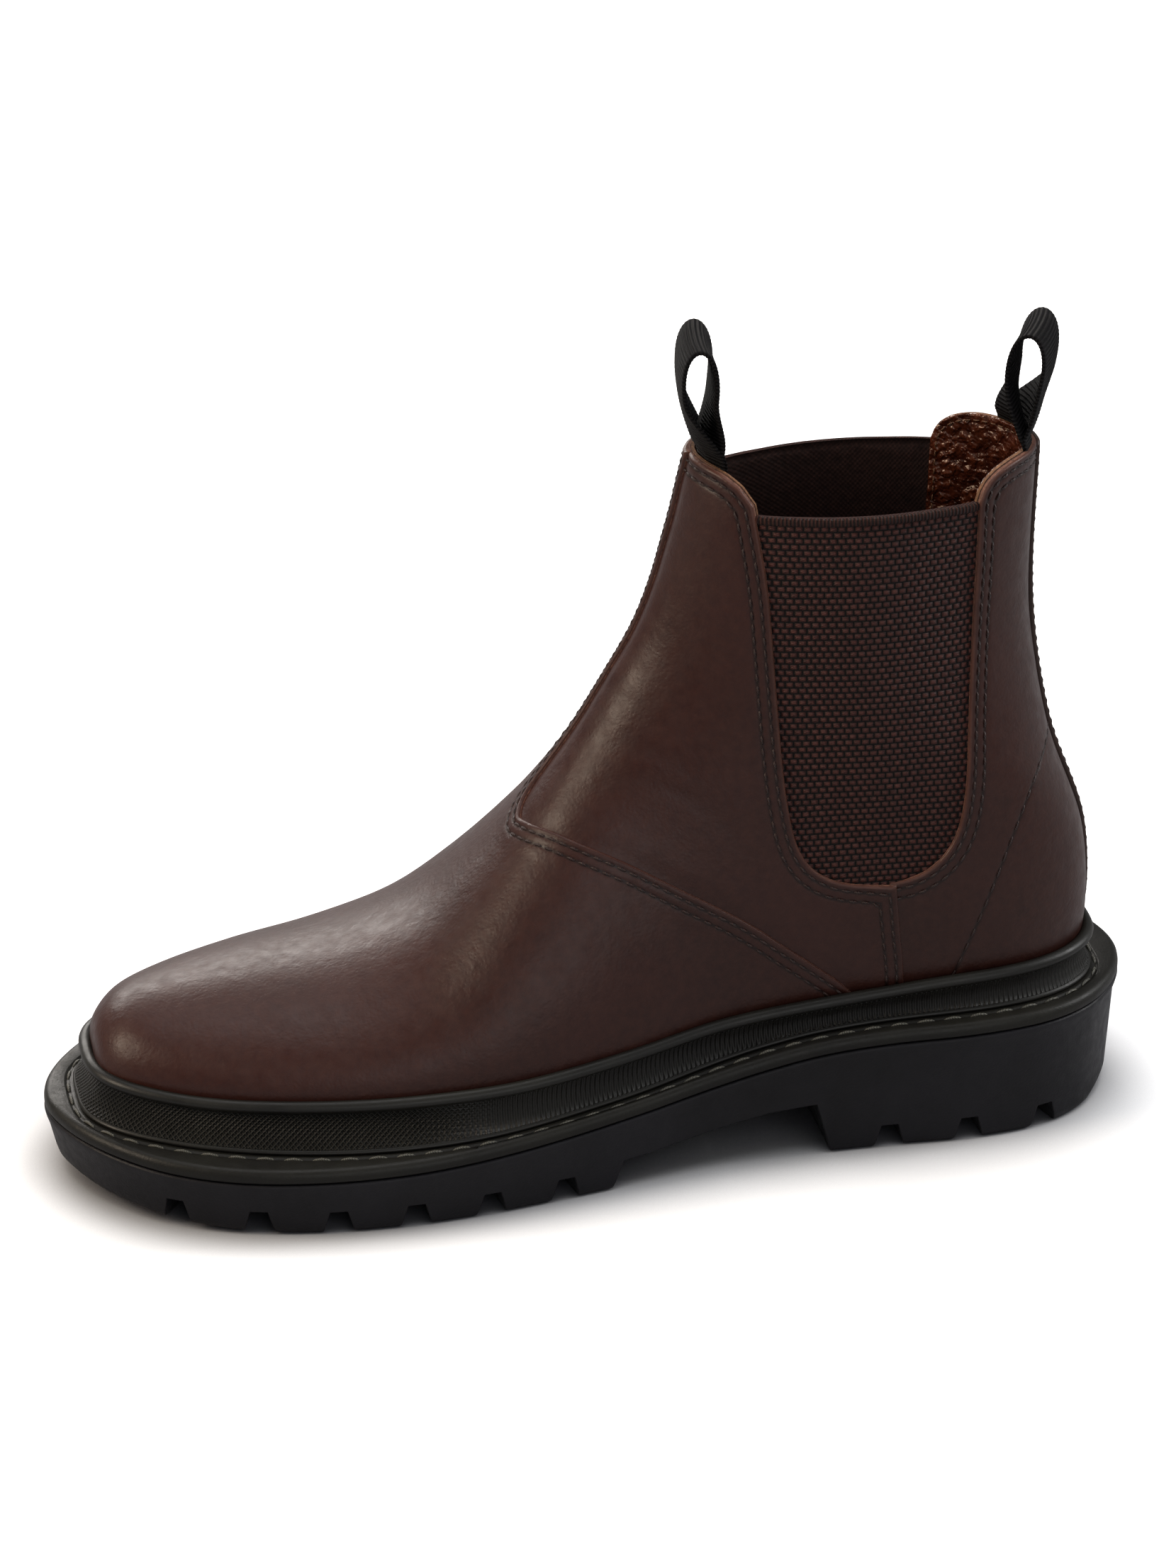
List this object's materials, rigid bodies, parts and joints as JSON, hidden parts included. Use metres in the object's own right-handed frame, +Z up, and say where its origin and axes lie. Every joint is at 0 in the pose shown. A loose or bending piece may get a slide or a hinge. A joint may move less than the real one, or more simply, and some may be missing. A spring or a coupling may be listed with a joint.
{
  "type": "chelsea boot",
  "caption": "Ankle-high pull-on boot with elastic side gores, fabric pull loops and a stitched, lugged rubber sole with a heel block.",
  "frame": {"origin": "centre of the bounding box in plan, on the ground under the sole", "axes": "+Z up, -Y towards the toe, +Y towards the heel, +X towards the inner side of the foot (it is a right boot)"},
  "size_m": [0.1216, 0.293, 0.219],
  "materials": {
    "vamp": "smooth dark brown leather, semi-gloss",
    "medial_quarter": "smooth dark brown leather, semi-gloss",
    "heel_quarter_medial": "smooth dark brown leather, semi-gloss",
    "heel_quarter_lateral": "smooth dark brown leather, semi-gloss",
    "back_strip": "darker brown leather strip, satin",
    "gore_medial": "woven elastic, matte",
    "gore_lateral": "woven elastic, matte",
    "toe_puff": "stiffened non-woven, matte",
    "heel_counter": "stiffened non-woven, matte",
    "foot_lining": "plain dark textile, matte",
    "front_collar_lining": "crinkled reddish brown lining leather, glossy",
    "rear_collar_lining": "crinkled reddish brown lining leather, glossy",
    "insole_board": "cellulose board, matte",
    "footbed": "dark leather sock over foam, matte",
    "bottom_filler": "cork compound, matte",
    "shank": "plain steel strip",
    "rand": "black rubber, satin",
    "welt_thread": "waxed black thread",
    "midsole": "black rubber, satin",
    "outsole": "black rubber, matte",
    "front_pull_loop": "black ribbed tape, matte",
    "rear_pull_loop": "black ribbed tape, matte"
  },
  "bodies": {
    "boot": {"vamp": "vamp", "medial_quarter": "medial_quarter", "heel_quarter_medial": "heel_quarter_medial", "heel_quarter_lateral": "heel_quarter_lateral", "back_strip": "back_strip", "gore_medial": "gore_medial", "gore_lateral": "gore_lateral", "toe_puff": "toe_puff", "heel_counter": "heel_counter", "foot_lining": "foot_lining", "front_collar_lining": "front_collar_lining", "rear_collar_lining": "rear_collar_lining", "insole_board": "insole_board", "footbed": "footbed", "bottom_filler": "bottom_filler", "shank": "shank", "rand": "rand", "welt_thread": "welt_thread", "midsole": "midsole", "outsole": "outsole"},
    "front_loop": {"front_pull_loop": "front_pull_loop"},
    "rear_loop": {"rear_pull_loop": "rear_pull_loop"}
  },
  "joints": [
    {"name": "front_loop_fold", "type": "hinge", "parent": "boot", "child": "front_loop", "pos_m": [0.0013, 0.0288, 0.1895], "axis": [1, 0, 0], "range_deg": [-60, 60]},
    {"name": "rear_loop_fold", "type": "hinge", "parent": "boot", "child": "rear_loop", "pos_m": [0.0013, 0.1163, 0.1869], "axis": [1, 0, 0], "range_deg": [-60, 60]}
  ]
}
